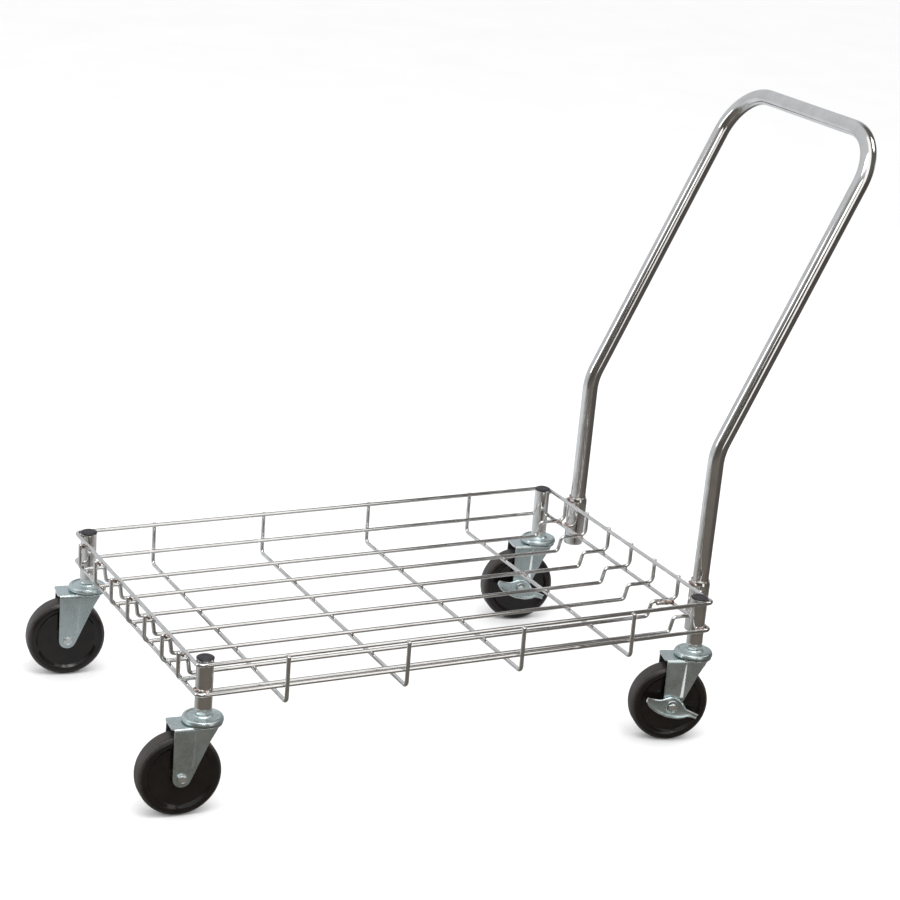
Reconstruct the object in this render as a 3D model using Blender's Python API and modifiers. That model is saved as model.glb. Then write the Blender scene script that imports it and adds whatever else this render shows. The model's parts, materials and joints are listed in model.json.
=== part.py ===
"""Laundry cart: a shallow chromed wire tray on four swivel casters, with one bent push handle.

Metres, +Z up. The handle end is the rear (+X), and left is -Y, as the person pushing sees it. The origin
lies on the floor, under the middle of the cart's bounding box.
"""
import math

import bmesh
import bpy
from mathutils import Matrix, Vector

GAP = 0.0003                     # clearance between pieces that touch

# Tray
TRAY_LENGTH = 0.850              # between the rings' end centrelines
TRAY_WIDTH = 0.546               # between the rings' side centrelines
WIRE_RADIUS = 0.003175
LOWER_RING_HEIGHT = 0.1854       # centreline above the floor
RIM_HEIGHT = 0.2309
CORNER_RADIUS = 0.010
WIRE_TIP = 0.0010                # how far the risers' tips pass the rim's centreline

CROSS_WIRES = 4
CROSS_SPACING = 0.190
CROSS_SHIFT = -0.006             # the welded grid sits slightly off the tray's middle
CROSS_BEND = 0.008

DECK_WIRES = 7
DECK_SPACING = 0.0743
DECK_FIRST_GAP = 0.0668          # the leftmost pair stands closer
DECK_RIGHTMOST = 0.2128
DECK_DROP = 0.0175               # deck wires' centreline below the lower ring's
RISER_BEND = 0.010
JOG_BEND = 0.006
FRONT_JOG_INSET = 0.0301         # from the ring's centreline to the middle of the jog
REAR_JOG_INSET = 0.042
FRONT_JOG_SLANT = 0.0017         # half of a jog's run
REAR_JOG_SLANT = 0.003
FRONT_STANDOFF = 0.0055          # the front risers stand clear of the rim, bridged by their welds
FRONT_TIP = 0.0035               # and their tips pass the rim's centreline by more

# Posts and caps
POST_RADIUS = 0.0127
POST_WALL = 0.0018
POST_BOTTOM = 0.1600
POST_ABOVE_RIM = 0.0040
PLUG_TOP = 0.1900                # top of the threaded plug in a post's lower end
CAP_RADIUS = 0.0131
CAP_THICKNESS = 0.0028
CAP_PLUG_DEPTH = 0.012

# Handle and its sockets
HANDLE_RADIUS = 0.0127
HANDLE_WALL = 0.0015
HANDLE_OFFSET = 0.0208           # legs' axis outside the rear ring line, midway between the rings
HANDLE_RAKE = math.radians(1.08)  # the legs lean out a little below the knee
HANDLE_HALF_SPACING = 0.1988
HANDLE_BOTTOM = 0.1600
HANDLE_KNEE_HEIGHT = 0.4504
HANDLE_TOP_HEIGHT = 0.9400       # grip bar's centreline
HANDLE_LEAN = math.radians(26.15)
KNEE_RADIUS = 0.090
HANDLE_CORNER_RADIUS = 0.080
SOCKET_RADIUS = 0.0159
SOCKET_BOTTOM = 0.1550
SOCKET_TOP = 0.2385

# Casters
WHEEL_RADIUS = 0.062
WHEEL_HALF_WIDTH = 0.0180
HUB_HALF_WIDTH = 0.0190
WHEEL_FACETS = 32
TRAIL = 0.0335                   # axle behind the stem's axis
STEM_RADIUS = 0.0060
STEM_TOP = 0.1950
KINGPIN_BOTTOM = 0.1322
RIVET_RADIUS = 0.0090
RIVET_THICKNESS = 0.0034
HEX_FLATS = 0.0222               # across the stem hexagon's flats
HEX_BOTTOM = 0.1510
SWIVEL_CAP_RADIUS = 0.0305
SWIVEL_CAP_TOP = 0.1506
SWIVEL_CAP_RIM = 0.1410
BALL_CIRCLE_RADIUS = 0.0200
BALL_RADIUS = 0.0028
BALLS = 6

FORK_TOP = 0.1390
FORK_PLATE = 0.0026
FORK_INNER_HALF = 0.0205
FORK_BEND = 0.0045
FORK_REAR = 0.0500               # rear edge of the top plate behind the stem's axis
FORK_DISC_RADIUS = 0.0290
FORK_FOOT_RADIUS = 0.0135

AXLE_RADIUS = 0.0040
AXLE_HEX_FLATS = 0.0127
BUSHING_RADIUS = 0.00635
BUSHING_HALF_LENGTH = 0.0202

LEVER_PLATE = 0.0020
LEVER_DEPTH = 0.0060             # how far the lever's lip stands out
LEVER_CAM_RADIUS = 0.0090
LEVER_CAM_THICKNESS = 0.0022
LEVER_TILT = math.radians(-21.0)
LEVER_HALF_LENGTH = 0.0440

# How far each caster has swivelled as the cart stands, in degrees about +Z
HEADINGS = {"front_left": -4.6, "front_right": -8.2, "rear_left": -15.3, "rear_right": -10.0}
BRAKED = ("rear_left", "rear_right")

POST_INSET = POST_RADIUS + WIRE_RADIUS + GAP
POST_X = TRAY_LENGTH / 2 - POST_INSET
POST_Y = TRAY_WIDTH / 2 - POST_INSET
RING_MIDDLE = (LOWER_RING_HEIGHT + RIM_HEIGHT) / 2
HANDLE_FOOT_X = TRAY_LENGTH / 2 + HANDLE_OFFSET - RING_MIDDLE * math.tan(HANDLE_RAKE)  # at floor level
HANDLE_KNEE_X = HANDLE_FOOT_X + HANDLE_KNEE_HEIGHT * math.tan(HANDLE_RAKE)
HANDLE_TOP_X = HANDLE_KNEE_X + (HANDLE_TOP_HEIGHT - HANDLE_KNEE_HEIGHT) * math.tan(HANDLE_LEAN)
FRONT_REACH = POST_X + TRAIL + WHEEL_RADIUS
REAR_REACH = HANDLE_TOP_X + HANDLE_RADIUS
TRAY_X = (FRONT_REACH - REAR_REACH) / 2
FORK_OUTER_HALF = FORK_INNER_HALF + FORK_PLATE


# ---------------------------------------------------------------- scene and materials

def clear_scene():
    for obj in list(bpy.data.objects):
        bpy.data.objects.remove(obj, do_unlink=True)


def new_collection(name):
    collection = bpy.data.collections.new(name)
    bpy.context.scene.collection.children.link(collection)
    return collection


def new_material(name, colour, roughness, metallic):
    material = bpy.data.materials.new(name)
    material.use_nodes = True
    shader = material.node_tree.nodes["Principled BSDF"]
    shader.inputs["Base Color"].default_value = (*colour, 1.0)
    shader.inputs["Roughness"].default_value = roughness
    shader.inputs["Metallic"].default_value = metallic
    return material


clear_scene()
CART = new_collection("laundry_cart")
CUTTERS = new_collection("cutters")

CHROME = ((0.80, 0.79, 0.77), 0.12, 1.0)
ZINC = ((0.62, 0.68, 0.70), 0.35, 1.0)
STEEL = ((0.55, 0.55, 0.55), 0.35, 1.0)
BLACK_PLASTIC = ((0.020, 0.018, 0.022), 0.45, 0.0)
BLACK_RUBBER = ((0.022, 0.019, 0.018), 0.40, 0.0)


def add_object(name, mesh, finish, parent=None, location=(0, 0, 0), rotation=(0, 0, 0)):
    """One sub-part: an object with its own copy of its finish as a material."""
    obj = bpy.data.objects.new(name, mesh)
    CART.objects.link(obj)
    obj.parent = parent
    obj.location = location
    obj.rotation_euler = rotation
    if not obj.data.materials:
        obj.data.materials.append(None)
    obj.material_slots[0].link = "OBJECT"
    obj.material_slots[0].material = new_material(name, *finish)
    return obj


def add_empty(name, parent=None, location=(0, 0, 0), turn=0.0):
    empty = bpy.data.objects.new(name, None)
    CART.objects.link(empty)
    empty.empty_display_size = 0.03
    empty.parent = parent
    empty.location = location
    empty.rotation_euler = (0, 0, turn)
    return empty


def evaluated_mesh(obj, name):
    """The mesh that an object and its modifiers make, ready to be shared by several objects."""
    depsgraph = bpy.context.evaluated_depsgraph_get()
    mesh = bpy.data.meshes.new_from_object(obj.evaluated_get(depsgraph))
    mesh.name = name
    return mesh


def remove_guides():
    for obj in list(CUTTERS.objects):
        bpy.data.objects.remove(obj, do_unlink=True)


def smooth(mesh, angle=30.0):
    mesh.shade_smooth()
    mesh.set_sharp_from_angle(angle=math.radians(angle))
    return mesh


# ---------------------------------------------------------------- shape helpers

def arc_points(centre, radius, start, end, steps):
    """Points on an arc in a plane, from angle start to angle end, both ends included."""
    return [(centre[0] + radius * math.cos(start + (end - start) * i / steps),
             centre[1] + radius * math.sin(start + (end - start) * i / steps)) for i in range(steps + 1)]


def bent_path(corners, radii, steps, closed=False):
    """A path through corners, each rounded to its bend radius."""
    corners = [Vector(c) for c in corners]
    count = len(corners)
    path = []
    for i, corner in enumerate(corners):
        if not closed and i in (0, count - 1):
            path.append(corner)
            continue
        before = (corners[i - 1] - corner).normalized()
        after = (corners[(i + 1) % count] - corner).normalized()
        half = before.angle(after) / 2
        radius = radii[i % len(radii)]
        start = corner + before * (radius / math.tan(half))
        end = corner + after * (radius / math.tan(half))
        centre = corner + (before + after).normalized() * (radius / math.sin(half))
        first, last = start - centre, end - centre
        sweep = first.angle(last)
        for k in range(steps + 1):
            t = k / steps
            spoke = (first * math.sin((1 - t) * sweep) + last * math.sin(t * sweep)) / math.sin(sweep)
            path.append(centre + spoke)
    return path


def tube_curve(name, path, radius, closed=False, resolution=2, capped=True):
    curve = bpy.data.curves.new(name, "CURVE")
    curve.dimensions = "3D"
    curve.bevel_depth = radius
    curve.bevel_resolution = resolution
    curve.use_fill_caps = capped
    spline = curve.splines.new("POLY")
    spline.points.add(len(path) - 1)
    for point, place in zip(spline.points, path):
        point.co = (*place, 1.0)
    spline.use_cyclic_u = closed
    return curve


def guide(name, mesh, location=(0, 0, 0), rotation=(0, 0, 0)):
    """A helper object for the modelling tools, left out of the cart."""
    obj = bpy.data.objects.new(name, mesh)
    CUTTERS.objects.link(obj)
    obj.location = location
    obj.rotation_euler = rotation
    obj.hide_render = True
    obj.display_type = "WIRE"
    return obj


def turned_mesh(name, profile, steps, closed=True, upright=True):
    """A turned shape: the profile (radius, height) runs down its outer side and is swept round Z.

    A shape that isn't upright is laid over, so that its axis is Y.
    """
    mesh = bpy.data.meshes.new(name)
    edges = [(i, i + 1) for i in range(len(profile) - 1)]
    if closed:
        edges.append((len(profile) - 1, 0))
    mesh.from_pydata([(r, 0, z) for r, z in profile], edges, [])
    obj = guide(name, mesh)
    sweep = obj.modifiers.new("Screw", "SCREW")
    sweep.steps = steps
    sweep.render_steps = steps
    sweep.use_merge_vertices = True
    sweep.merge_threshold = 0.00001
    turned = evaluated_mesh(obj, name)
    bpy.data.objects.remove(obj, do_unlink=True)
    if not upright:
        turned.transform(Matrix.Rotation(math.radians(-90), 4, "X"))
    return smooth(turned)


def prism_mesh(name, outline, low, high, normal="Y"):
    """A flat outline swept between two levels along Y or Z."""
    shape = bmesh.new()
    place = (lambda a, b, level: (a, level, b)) if normal == "Y" else (lambda a, b, level: (a, b, level))
    face = shape.faces.new([shape.verts.new(place(a, b, low)) for a, b in outline])
    extruded = bmesh.ops.extrude_face_region(shape, geom=[face])
    rise = Vector(place(0, 0, high - low))
    bmesh.ops.translate(shape, verts=[v for v in extruded["geom"] if isinstance(v, bmesh.types.BMVert)],
                        vec=rise)
    bmesh.ops.recalc_face_normals(shape, faces=shape.faces)
    mesh = bpy.data.meshes.new(name)
    shape.to_mesh(mesh)
    shape.free()
    return mesh


def cylinder_mesh(name, radius, low, high, sides, normal="Z", turn=0.0):
    outline = arc_points((0, 0), radius, turn, turn + math.tau * (sides - 1) / sides, sides - 1)
    return prism_mesh(name, outline, low, high, normal)


def boolean(obj, cutter, operation):
    modifier = obj.modifiers.new(operation.title(), "BOOLEAN")
    modifier.operation = operation
    modifier.solver = "EXACT"
    modifier.object = cutter


def hexagon_radius(flats):
    return flats / 2 / math.cos(math.radians(30))


# ---------------------------------------------------------------- tray

def ring_path(height):
    half_x, half_y = TRAY_LENGTH / 2, TRAY_WIDTH / 2
    corners = [(-half_x, -half_y, height), (half_x, -half_y, height),
               (half_x, half_y, height), (-half_x, half_y, height)]
    return bent_path(corners, [CORNER_RADIUS], 3, closed=True)


def add_wire(name, path, parent, closed=False):
    return add_object(name, tube_curve(name, path, WIRE_RADIUS, closed), CHROME, parent)


def cross_wire_path(x):
    side = TRAY_WIDTH / 2 + 2 * WIRE_RADIUS + GAP
    top = RIM_HEIGHT + WIRE_TIP
    bottom = LOWER_RING_HEIGHT - DECK_DROP - 2 * WIRE_RADIUS - GAP
    corners = [(x, -side, top), (x, -side, bottom), (x, side, bottom), (x, side, top)]
    return bent_path(corners, [CROSS_BEND], 3)


def deck_wire_path(y):
    rear = TRAY_LENGTH / 2 + 2 * WIRE_RADIUS + GAP
    front = -rear - FRONT_STANDOFF
    top = RIM_HEIGHT + WIRE_TIP
    shelf = LOWER_RING_HEIGHT + 2 * WIRE_RADIUS + GAP
    deck = LOWER_RING_HEIGHT - DECK_DROP
    front_jog = -TRAY_LENGTH / 2 + FRONT_JOG_INSET
    rear_jog = TRAY_LENGTH / 2 - REAR_JOG_INSET
    corners = [(front, y, RIM_HEIGHT + FRONT_TIP), (front, y, shelf),
               (front_jog - FRONT_JOG_SLANT, y, shelf), (front_jog + FRONT_JOG_SLANT, y, deck),
               (rear_jog - REAR_JOG_SLANT, y, deck), (rear_jog + REAR_JOG_SLANT, y, shelf),
               (rear, y, shelf), (rear, y, top)]
    radii = [0, RISER_BEND, JOG_BEND, JOG_BEND, JOG_BEND, JOG_BEND, RISER_BEND, 0]
    return bent_path(corners, radii, 2)


def add_tray(cart):
    add_wire("top_rim", ring_path(RIM_HEIGHT), cart, closed=True)
    add_wire("lower_ring", ring_path(LOWER_RING_HEIGHT), cart, closed=True)
    for i in range(CROSS_WIRES):
        x = (i - (CROSS_WIRES - 1) / 2) * CROSS_SPACING + CROSS_SHIFT
        add_wire(f"cross_wire_{i + 1}", cross_wire_path(x), cart)
    places = [DECK_RIGHTMOST - DECK_SPACING * i for i in range(DECK_WIRES - 1)]
    places.append(places[-1] - DECK_FIRST_GAP)
    for i, y in enumerate(reversed(places)):
        add_wire(f"deck_wire_{i + 1}", deck_wire_path(y), cart)


def post_mesh():
    top = RIM_HEIGHT + POST_ABOVE_RIM
    bore = POST_RADIUS - POST_WALL
    stem_hole = STEM_RADIUS + GAP
    return turned_mesh("post", [(POST_RADIUS, top), (POST_RADIUS, POST_BOTTOM), (stem_hole, POST_BOTTOM),
                                (stem_hole, PLUG_TOP), (bore, PLUG_TOP), (bore, top)], 20)


def cap_mesh():
    flange = RIM_HEIGHT + POST_ABOVE_RIM + GAP
    top = flange + CAP_THICKNESS
    plug = POST_RADIUS - POST_WALL - GAP
    bottom = flange - CAP_PLUG_DEPTH
    edge = 0.0010
    return turned_mesh("post_cap", [(0, top), (CAP_RADIUS - edge, top), (CAP_RADIUS, top - edge),
                                    (CAP_RADIUS, flange), (plug, flange), (plug, bottom), (0, bottom)],
                       20, closed=False)


def add_handle(cart):
    socket = turned_mesh("handle_socket", [(SOCKET_RADIUS, SOCKET_TOP), (SOCKET_RADIUS, SOCKET_BOTTOM),
                                           (HANDLE_RADIUS + GAP, SOCKET_BOTTOM),
                                           (HANDLE_RADIUS + GAP, SOCKET_TOP)], 20)
    for side, y in (("left", -HANDLE_HALF_SPACING), ("right", HANDLE_HALF_SPACING)):
        add_object(f"handle_socket_{side}", socket, CHROME, cart, (HANDLE_FOOT_X, y, 0), (0, HANDLE_RAKE, 0))

    left, right = -HANDLE_HALF_SPACING, HANDLE_HALF_SPACING
    bottom_x = HANDLE_FOOT_X + HANDLE_BOTTOM * math.tan(HANDLE_RAKE)
    knees = bent_path([(bottom_x, left, HANDLE_BOTTOM), (HANDLE_KNEE_X, left, HANDLE_KNEE_HEIGHT),
                       (HANDLE_TOP_X, left, HANDLE_TOP_HEIGHT), (HANDLE_TOP_X, right, HANDLE_TOP_HEIGHT),
                       (HANDLE_KNEE_X, right, HANDLE_KNEE_HEIGHT), (bottom_x, right, HANDLE_BOTTOM)],
                      [0, KNEE_RADIUS, HANDLE_CORNER_RADIUS, HANDLE_CORNER_RADIUS, KNEE_RADIUS, 0], 5)
    tube = guide("handle", tube_curve("handle", knees, HANDLE_RADIUS, resolution=4, capped=False))
    wall = evaluated_mesh(tube, "handle")
    remove_guides()
    handle = add_object("handle", smooth(wall, 40.0), CHROME, cart)
    shell = handle.modifiers.new("Solidify", "SOLIDIFY")
    shell.thickness = HANDLE_WALL
    shell.offset = -1.0


# ---------------------------------------------------------------- casters

def stem_mesh():
    """Threaded stem, hexagon, kingpin and rivet head, in one piece."""
    shaft = turned_mesh("shaft", [(0, STEM_TOP), (STEM_RADIUS, STEM_TOP),
                                  (STEM_RADIUS, KINGPIN_BOTTOM + RIVET_THICKNESS),
                                  (RIVET_RADIUS, KINGPIN_BOTTOM + RIVET_THICKNESS),
                                  (RIVET_RADIUS, KINGPIN_BOTTOM), (0, KINGPIN_BOTTOM)], 16, closed=False)
    body = guide("shaft", shaft)
    hexagon = cylinder_mesh("hexagon", hexagon_radius(HEX_FLATS), HEX_BOTTOM, POST_BOTTOM - GAP, 6,
                            turn=math.radians(30))
    boolean(body, guide("hexagon", hexagon), "UNION")
    mesh = evaluated_mesh(body, "caster_stem")
    remove_guides()
    return smooth(mesh)


def swivel_cap_mesh():
    """Pressed upper race: a domed cover with a hole for the kingpin."""
    hole = STEM_RADIUS + GAP
    thick = 0.0018
    crown, shoulder = 0.0120, 0.0265
    top, rim = SWIVEL_CAP_TOP, SWIVEL_CAP_RIM
    edge = rim + 0.0030
    bead = top - 0.0036
    return turned_mesh("swivel_cap", [
        (hole, top), (crown, top), (shoulder, bead), (SWIVEL_CAP_RADIUS, edge), (SWIVEL_CAP_RADIUS, rim),
        (SWIVEL_CAP_RADIUS - thick, rim), (SWIVEL_CAP_RADIUS - thick, edge - 0.0008),
        (shoulder - 0.0006, bead - thick), (crown, top - thick), (hole, top - thick)], 24)


def ball_ring_mesh():
    """Balls in their cage, joined into one ring."""
    middle = FORK_TOP + GAP + BALL_RADIUS
    cage_half, cage_wall = 0.0010, 0.0009
    cage = turned_mesh("cage", [(BALL_CIRCLE_RADIUS + cage_wall, middle + cage_half),
                                (BALL_CIRCLE_RADIUS + cage_wall, middle - cage_half),
                                (BALL_CIRCLE_RADIUS - cage_wall, middle - cage_half),
                                (BALL_CIRCLE_RADIUS - cage_wall, middle + cage_half)], 16)
    ring = guide("cage", cage)
    for i in range(BALLS):
        angle = math.tau * i / BALLS
        ball = bmesh.new()
        bmesh.ops.create_uvsphere(ball, u_segments=6, v_segments=4, radius=BALL_RADIUS)
        mesh = bpy.data.meshes.new("ball")
        ball.to_mesh(mesh)
        ball.free()
        place = (BALL_CIRCLE_RADIUS * math.cos(angle), BALL_CIRCLE_RADIUS * math.sin(angle), middle)
        boolean(ring, guide(f"ball_{i}", mesh, place, (0, 0, angle)), "UNION")
    mesh = evaluated_mesh(ring, "ball_ring")
    remove_guides()
    return smooth(mesh)


def fork_side_outline():
    """Side view (x forward of the stem, z): straight rear edge, round foot, slanting front edge."""
    foot = (-TRAIL, WHEEL_RADIUS)
    knee = (0.0050, 0.1145)
    brow = (0.0185, 0.1400)
    over = FORK_TOP + 0.010
    reach = math.dist(foot, knee)
    toward = math.atan2(knee[1] - foot[1], knee[0] - foot[0])
    tangent = toward - math.acos(FORK_FOOT_RADIUS / reach)
    around = arc_points(foot, FORK_FOOT_RADIUS, -math.pi, tangent, 10)
    return [(-FORK_REAR - 0.001, over), (-FORK_REAR, 0.1340)] + around + [knee, brow, (0.0200, over)]


def fork_mesh():
    """Stamped yoke: a sheet bent to a U, trimmed to its side view, with the round race seat on top."""
    bend_centre = FORK_OUTER_HALF - FORK_BEND, FORK_TOP - FORK_BEND
    low = 0.030
    half = [(FORK_OUTER_HALF, low)] + arc_points(bend_centre, FORK_BEND, 0, math.pi / 2, 3)
    section = half + [(-y, z) for y, z in reversed(half)]
    front, rear = 0.040, -0.070
    sheet = bmesh.new()
    columns = [[sheet.verts.new((x, y, z)) for y, z in section] for x in (rear, front)]
    for i in range(len(section) - 1):
        sheet.faces.new([columns[0][i], columns[0][i + 1], columns[1][i + 1], columns[1][i]])
    mesh = bpy.data.meshes.new("fork_sheet")
    sheet.to_mesh(mesh)
    sheet.free()
    yoke = guide("fork_sheet", mesh)
    bent = yoke.modifiers.new("Solidify", "SOLIDIFY")
    bent.thickness = FORK_PLATE
    bent.offset = -1.0

    side = prism_mesh("side_view", fork_side_outline(), -0.040, 0.040)
    boolean(yoke, guide("side_view", side), "INTERSECT")
    corner = 0.0090
    rear_y = FORK_OUTER_HALF + 0.001 - corner
    plan = (arc_points((-FORK_REAR + corner, rear_y), corner, math.pi, math.pi / 2, 4)
            + [(0.030, FORK_OUTER_HALF + 0.001), (0.030, -FORK_OUTER_HALF - 0.001)]
            + arc_points((-FORK_REAR + corner, -rear_y), corner, -math.pi / 2, -math.pi, 4))
    boolean(yoke, guide("plan_view", prism_mesh("plan_view", plan, 0.0, 0.2, "Z")), "INTERSECT")
    seat = cylinder_mesh("race_seat", FORK_DISC_RADIUS, FORK_TOP - FORK_PLATE + 0.0001, FORK_TOP, 28)
    boolean(yoke, guide("race_seat", seat), "UNION")
    kingpin = cylinder_mesh("kingpin_hole", STEM_RADIUS + GAP, 0.12, 0.15, 16)
    boolean(yoke, guide("kingpin_hole", kingpin), "DIFFERENCE")
    axle = cylinder_mesh("axle_hole", AXLE_RADIUS + GAP, -0.05, 0.05, 12, "Y")
    boolean(yoke, guide("axle_hole", axle, (-TRAIL, 0, WHEEL_RADIUS)), "DIFFERENCE")
    result = evaluated_mesh(yoke, "fork")
    remove_guides()
    return smooth(result)


def wheel_mesh():
    """Solid moulded wheel: bevelled tread, recessed face and a hub boss, turned round Y.

    The tread's facets touch the true radius at their middles, and one of them lies flat on the floor.
    """
    bore = BUSHING_RADIUS + GAP
    boss, dish, shoulder = 0.0150, 0.0150, 0.0500
    face = WHEEL_HALF_WIDTH
    recess = face - 0.0030
    tread_edge = 0.0060
    tread = WHEEL_RADIUS / math.cos(math.pi / WHEEL_FACETS)
    half = [(bore, HUB_HALF_WIDTH), (boss, HUB_HALF_WIDTH), (boss + 0.002, recess),
            (shoulder - 0.002, recess), (shoulder, face), (tread - tread_edge, face),
            (tread, face - tread_edge)]
    profile = half + [(r, -z) for r, z in reversed(half)]
    mesh = turned_mesh("wheel", profile, WHEEL_FACETS, upright=False)
    mesh.transform(Matrix.Rotation(math.pi / WHEEL_FACETS, 4, "Y"))
    return mesh


def hexagon_bolt_mesh(name, outer_half):
    """Axle bolt along Y: its head lies against the outside at -outer_half."""
    head = 0.0050
    tail = FORK_OUTER_HALF + 0.0105
    shaft = cylinder_mesh("bolt_shaft", AXLE_RADIUS, -outer_half - head / 2, tail, 12, "Y")
    body = guide("bolt_shaft", shaft)
    head_mesh = cylinder_mesh("bolt_head", hexagon_radius(AXLE_HEX_FLATS), -outer_half - GAP - head,
                              -outer_half - GAP, 6, "Y")
    boolean(body, guide("bolt_head", head_mesh), "UNION")
    mesh = evaluated_mesh(body, name)
    remove_guides()
    return smooth(mesh)


def axle_nut_mesh():
    hexagon = cylinder_mesh("nut_hexagon", hexagon_radius(AXLE_HEX_FLATS), FORK_OUTER_HALF + GAP,
                            FORK_OUTER_HALF + GAP + 0.0070, 6, "Y")
    body = guide("nut_hexagon", hexagon)
    hole = cylinder_mesh("nut_hole", AXLE_RADIUS + GAP, 0.0, 0.05, 12, "Y")
    boolean(body, guide("nut_hole", hole), "DIFFERENCE")
    mesh = evaluated_mesh(body, "axle_nut")
    remove_guides()
    return smooth(mesh)


def bushing_mesh():
    inner = AXLE_RADIUS + GAP
    length = BUSHING_HALF_LENGTH
    return turned_mesh("bushing", [(BUSHING_RADIUS, length), (BUSHING_RADIUS, -length),
                                   (inner, -length), (inner, length)], 16, upright=False)


def brake_washer_mesh():
    outer_face, inner_face = BUSHING_HALF_LENGTH, HUB_HALF_WIDTH + GAP
    inner, outer = BUSHING_RADIUS + GAP, 0.0120
    ring = [(outer, -inner_face), (outer, -outer_face), (inner, -outer_face), (inner, -inner_face)]
    mesh = turned_mesh("brake_washer", ring, 16)
    mesh.transform(Matrix.Rotation(math.radians(-90), 4, "X"))
    return mesh


def lever_edges():
    """The lever's lower and upper edges as seen from outside: (along, above the axle), from left to right."""
    half = LEVER_HALF_LENGTH
    keel = [(-half, -0.0012), (-0.0370, -0.0075), (-0.0290, -0.0104), (-0.0220, -0.0122), (-0.0040, -0.0134),
            (0.0120, -0.0108), (0.0240, -0.0062), (0.0310, -0.0024), (half, -0.0018)]
    crest = [(-half, 0.0008), (-0.0300, 0.0018), (-0.0210, 0.0042), (-0.0140, 0.0104), (-0.0080, 0.0140),
             (0.0080, 0.0140), (0.0140, 0.0108), (0.0220, 0.0044), (0.0300, 0.0026), (half, 0.0022)]
    return keel, crest


def brake_lever_mesh():
    """Foot lever: a boat-shaped plate on the axle, deepest at the heel, with a lip along its lower edge."""
    inside = -(FORK_OUTER_HALF + GAP)
    plate_back = inside - LEVER_CAM_THICKNESS
    plate_front = plate_back - LEVER_PLATE
    lip_front = plate_front - LEVER_DEPTH
    keel, crest = lever_edges()
    plate = prism_mesh("lever_plate", keel + list(reversed(crest)), plate_front, plate_back)
    body = guide("lever_plate", plate)
    hem = [(s, t + LEVER_PLATE) for s, t in reversed(keel)]
    lip = prism_mesh("lever_lip", keel + hem, lip_front, plate_back - 0.0002)
    boolean(body, guide("lever_lip", lip), "UNION")
    cam = cylinder_mesh("lever_cam", LEVER_CAM_RADIUS, plate_back - 0.0004, inside, 16, "Y")
    boolean(body, guide("lever_cam", cam), "UNION")
    hole = cylinder_mesh("lever_hole", AXLE_RADIUS + GAP, -0.06, 0.0, 12, "Y")
    boolean(body, guide("lever_hole", hole), "DIFFERENCE")
    mesh = evaluated_mesh(body, "brake_lever")
    remove_guides()
    mesh.transform(Matrix.Rotation(-LEVER_TILT, 4, "Y"))
    return smooth(mesh)


def add_caster(cart, corner, meshes):
    """One caster: fixed stem and cap, swivelling fork, rolling wheel, and a brake at the rear."""
    front, side = corner.split("_")
    x = POST_X if front == "rear" else -POST_X
    y = POST_Y if side == "right" else -POST_Y
    swivel = add_empty(f"caster_{corner}", cart, (x, y, 0), math.radians(HEADINGS[corner]))
    axle = (-TRAIL, 0, WHEEL_RADIUS)
    braked = corner in BRAKED
    add_object(f"post_{corner}", meshes["post"], CHROME, cart, (x, y, 0))
    add_object(f"post_cap_{corner}", meshes["post_cap"], BLACK_PLASTIC, cart, (x, y, 0))
    add_object(f"caster_stem_{corner}", meshes["caster_stem"], ZINC, cart, (x, y, 0))
    add_object(f"swivel_cap_{corner}", meshes["swivel_cap"], ZINC, cart, (x, y, 0))
    add_object(f"ball_ring_{corner}", meshes["ball_ring"], STEEL, swivel)
    add_object(f"fork_{corner}", meshes["fork"], ZINC, swivel)
    add_object(f"wheel_{corner}", meshes["wheel"], BLACK_RUBBER, swivel, axle)
    add_object(f"bushing_{corner}", meshes["bushing"], STEEL, swivel, axle)
    bolt = meshes["long_bolt" if braked else "short_bolt"]
    add_object(f"axle_bolt_{corner}", bolt, ZINC, swivel, axle)
    add_object(f"axle_nut_{corner}", meshes["axle_nut"], ZINC, swivel, axle)
    if braked:
        add_object(f"brake_lever_{corner}", meshes["brake_lever"], ZINC, swivel, axle)
        add_object(f"brake_washer_{corner}", meshes["brake_washer"], STEEL, swivel, axle)


def build():
    cart = add_empty("cart", location=(TRAY_X, 0, 0))
    add_tray(cart)
    add_handle(cart)
    lever_stack = FORK_OUTER_HALF + GAP + LEVER_CAM_THICKNESS + LEVER_PLATE
    meshes = {
        "post": post_mesh(), "post_cap": cap_mesh(), "caster_stem": stem_mesh(),
        "swivel_cap": swivel_cap_mesh(), "ball_ring": ball_ring_mesh(), "fork": fork_mesh(),
        "wheel": wheel_mesh(), "bushing": bushing_mesh(), "axle_nut": axle_nut_mesh(),
        "short_bolt": hexagon_bolt_mesh("short_bolt", FORK_OUTER_HALF),
        "long_bolt": hexagon_bolt_mesh("long_bolt", lever_stack),
        "brake_lever": brake_lever_mesh(), "brake_washer": brake_washer_mesh(),
    }
    for corner in HEADINGS:
        add_caster(cart, corner, meshes)


build()
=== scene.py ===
"""Looks of the laundry cart: smooth chromed wire and tube, welds with heat marks, zinc plated casters.

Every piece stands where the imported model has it, in metres, and rides on that model's bodies.
A caster's own pieces are made in its local frame (stem's axis at the origin, X forward from the axle,
Y across, Z up from the floor) and then placed at each corner.
"""
import json
import math

import bmesh
import bpy
import numpy as np
from mathutils import Matrix, Vector, noise


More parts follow.
